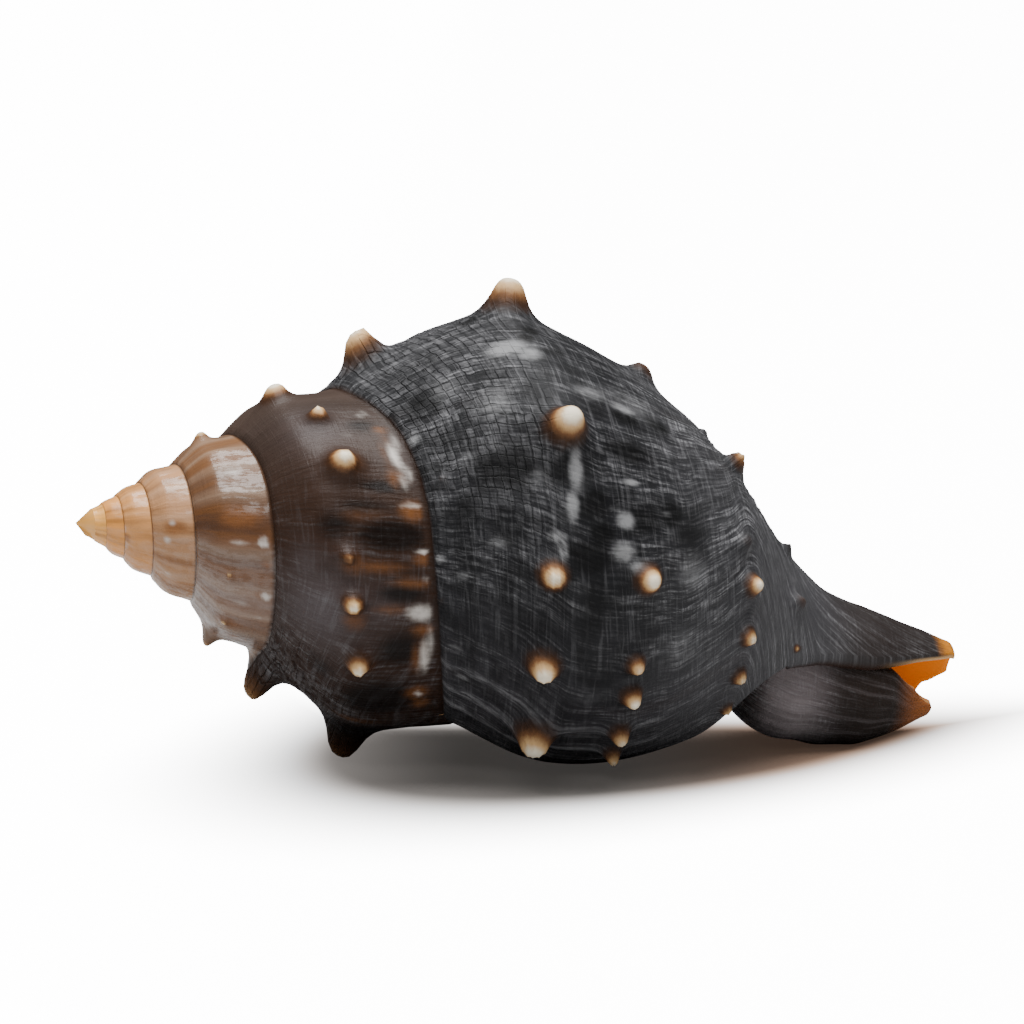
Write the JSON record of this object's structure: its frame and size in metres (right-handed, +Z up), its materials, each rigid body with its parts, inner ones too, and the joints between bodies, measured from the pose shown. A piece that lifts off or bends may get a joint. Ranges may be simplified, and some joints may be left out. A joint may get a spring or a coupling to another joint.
{
  "type": "knobbed whelk shell",
  "caption": "Right-handed spiral sea shell with a stepped spire, rows of knobs round its last turn, an open mouth and a tapering canal. Lies on its mouth side.",
  "frame": {"origin": "centre of the bounding box, on the surface that the shell lies on", "axes": "+X towards the canal's tip, -X towards the apex of the spire, +Z up, -Y towards the side with the large knobs, +Y towards the mouth"},
  "size_m": [0.0888, 0.0452, 0.0492],
  "materials": {
    "shell": "satin calcium carbonate shell, charcoal brown with cream knob tips and a tan spire"
  },
  "bodies": {
    "root": {"shell": "shell"}
  },
  "joints": []
}
